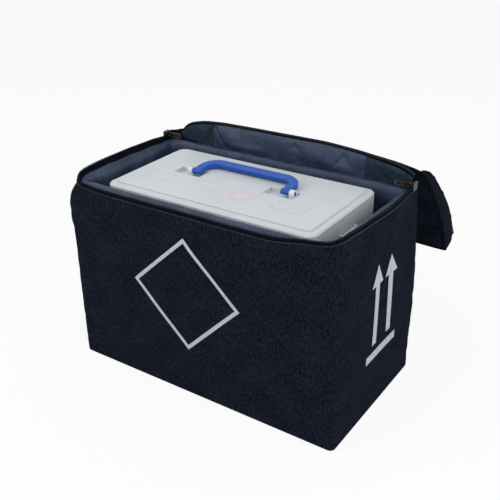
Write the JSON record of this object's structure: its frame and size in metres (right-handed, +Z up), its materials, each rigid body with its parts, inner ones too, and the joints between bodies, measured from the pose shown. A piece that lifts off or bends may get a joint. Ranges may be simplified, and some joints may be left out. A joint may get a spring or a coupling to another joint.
{
  "type": "padded carrying bag with an inner box",
  "caption": "Padded, zipped carrying bag, open with its lid folded back, holding a rigid lidded box with a folding bail handle and end latches.",
  "frame": {"origin": "middle of the bag's base, on the surface that it stands on", "axes": "+X to the bag's right, +Y to its rear where the lid is hinged, +Z up"},
  "size_m": [0.354, 0.318, 0.271],
  "materials": {
    "cover_fabric": "coarse plain weave, matt",
    "lining_fabric": "smooth coated lining with a satin sheen",
    "woven_patch": "ribbed weave",
    "board": "plain sheet",
    "padding": "closed-cell padding",
    "piping": "satin bias tape over a cord",
    "zip_tape": "herringbone tape",
    "zip_coil": "nylon coil",
    "slider_metal": "dark antique finish",
    "pull_metal": "antique finish",
    "webbing": "ribbed webbing",
    "box_plastic": "fine textured moulding",
    "handle_plastic": "moulded, half gloss",
    "clip_plastic": "moulded",
    "gasket_rubber": "soft moulding",
    "pin_steel": "plain"
  },
  "bodies": {
    "bag": {"base_cover": "cover_fabric", "outer_cover": "cover_fabric", "base_board": "board", "base_foam": "padding", "front_foam": "padding", "rear_foam": "padding", "left_foam": "padding", "right_foam": "padding", "lining": "lining_fabric", "rim_piping": "piping", "zip_tape_lower": "zip_tape", "zip_coil_lower": "zip_coil", "zip_stops": "slider_metal", "hinge_strip": "cover_fabric", "strip_lining": "lining_fabric", "strip_patch_left": "woven_patch", "strip_patch_right": "woven_patch", "corner_gusset_left": "cover_fabric", "corner_gusset_right": "cover_fabric"},
    "lid": {"lid_cover": "cover_fabric", "lid_foam": "padding", "lid_lining": "lining_fabric", "lid_band": "cover_fabric", "lid_piping": "piping", "zip_tape_upper": "zip_tape", "zip_coil_upper": "zip_coil", "carry_handle": "webbing"},
    "inner_box": {"box_base": "box_plastic"},
    "box_lid": {"box_lid": "box_plastic", "lid_gasket": "gasket_rubber", "pivot_clip_left": "clip_plastic", "pivot_clip_right": "clip_plastic", "latch_pin_left": "pin_steel", "latch_pin_right": "pin_steel"},
    "box_handle": {"box_handle": "handle_plastic"},
    "latch_left": {"latch_left": "box_plastic"},
    "latch_right": {"latch_right": "box_plastic"},
    "slider_left": {"slider_left": "slider_metal"},
    "slider_right": {"slider_right": "slider_metal"},
    "pull_left": {"pull_left": "pull_metal"},
    "pull_right": {"pull_right": "pull_metal"}
  },
  "joints": [
    {"name": "lid_hinge", "type": "hinge", "parent": "bag", "child": "lid", "pos_m": [0, 0.0926, 0.2624], "axis": [-1, 0, 0], "range_deg": [-233.3, 0]},
    {"name": "box_lift", "type": "slide", "parent": "bag", "child": "inner_box", "axis": [0, 0, 1], "range_m": [0, 0.26]},
    {"name": "box_lid_lift", "type": "slide", "parent": "inner_box", "child": "box_lid", "axis": [0, 0, 1], "range_m": [0, 0.12]},
    {"name": "box_handle_swing", "type": "hinge", "parent": "box_lid", "child": "box_handle", "pos_m": [0, 0.003, 0.2331], "axis": [1, 0, 0], "range_deg": [0, 168]},
    {"name": "latch_left_swing", "type": "hinge", "parent": "box_lid", "child": "latch_left", "pos_m": [-0.1393, 0, 0.2055], "axis": [0, 1, 0], "range_deg": [0, 78]},
    {"name": "latch_right_swing", "type": "hinge", "parent": "box_lid", "child": "latch_right", "pos_m": [0.1393, 0, 0.2055], "axis": [0, -1, 0], "range_deg": [0, 78]},
    {"name": "slider_left_run", "type": "slide", "parent": "bag", "child": "slider_left", "axis": [0, -1, 0], "range_m": [0, 0.14]},
    {"name": "slider_right_run", "type": "slide", "parent": "bag", "child": "slider_right", "axis": [0, -1, 0], "range_m": [0, 0.14]},
    {"name": "pull_left_swing", "type": "hinge", "parent": "slider_left", "child": "pull_left", "pos_m": [-0.16705, 0.083, 0.2363], "axis": [0, 0, -1], "range_deg": [-15, 80]},
    {"name": "pull_right_swing", "type": "hinge", "parent": "slider_right", "child": "pull_right", "pos_m": [0.16705, 0.083, 0.2363], "axis": [0, 0, 1], "range_deg": [-15, 80]}
  ]
}
